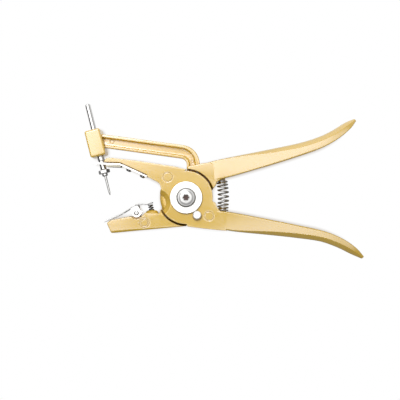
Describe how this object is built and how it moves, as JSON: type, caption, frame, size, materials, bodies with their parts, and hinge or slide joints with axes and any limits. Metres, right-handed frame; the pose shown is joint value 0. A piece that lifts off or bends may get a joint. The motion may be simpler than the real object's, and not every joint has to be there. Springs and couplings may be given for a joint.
{
  "type": "ear tag applicator",
  "caption": "Ear tag applicator pliers: crossed cast levers on one pivot, forked jaws, sprung tag clip and a bowed arm whose needle sets a two-piece livestock tag",
  "frame": {"origin": "Centre of the pivot's flat rear head, on the plane that the tool lies on", "axes": "+X from the jaws to the handle tips, +Y from the lower jaw to the upper jaw, +Z out of the front face, along the pivot"},
  "size_m": [0.2541, 0.1414, 0.0266],
  "materials": {
    "gold_cast": "satin",
    "bright_steel": "polished",
    "spring_steel": "satin"
  },
  "bodies": {
    "front_lever": {"front_lever": "gold_cast", "pivot_barrel": "bright_steel", "pivot_screw": "bright_steel", "front_washer": "bright_steel", "rear_washer": "bright_steel", "stop_pin": "bright_steel", "stripper_plate": "bright_steel", "plate_screw_front": "bright_steel", "plate_screw_rear": "bright_steel", "handle_spring": "spring_steel", "retract_spring": "spring_steel"},
    "rear_lever": {"rear_lever": "gold_cast", "clip_pin": "bright_steel", "clip_spring": "spring_steel"},
    "pin_arm": {"pin_arm": "gold_cast", "plunger_rod": "bright_steel", "set_screw": "bright_steel", "lock_nut": "bright_steel", "needle": "bright_steel"},
    "tag_clip": {"tag_clip": "bright_steel"}
  },
  "joints": [
    {"name": "jaw_close", "type": "hinge", "parent": "front_lever", "child": "rear_lever", "pos_m": [0, 0, 0.011], "axis": [0, 0, -1], "range_deg": [0, 24], "stiffness_Nm_per_rad": 6, "springref_deg": -5.16, "deforming": ["handle_spring"]},
    {"name": "pin_retract", "type": "hinge", "parent": "front_lever", "child": "pin_arm", "pos_m": [0, 0, 0.011], "axis": [0, 0, -1], "range_deg": [0, 24], "stiffness_Nm_per_rad": 0.35, "springref_deg": -11.46, "deforming": ["retract_spring"]},
    {"name": "clip_open", "type": "hinge", "parent": "rear_lever", "child": "tag_clip", "pos_m": [-0.0448, -0.0139, 0.011], "axis": [0, 0, -1], "range_deg": [0, 12], "stiffness_Nm_per_rad": 0.05, "springref_deg": -17.19, "deforming": ["clip_spring"]}
  ]
}
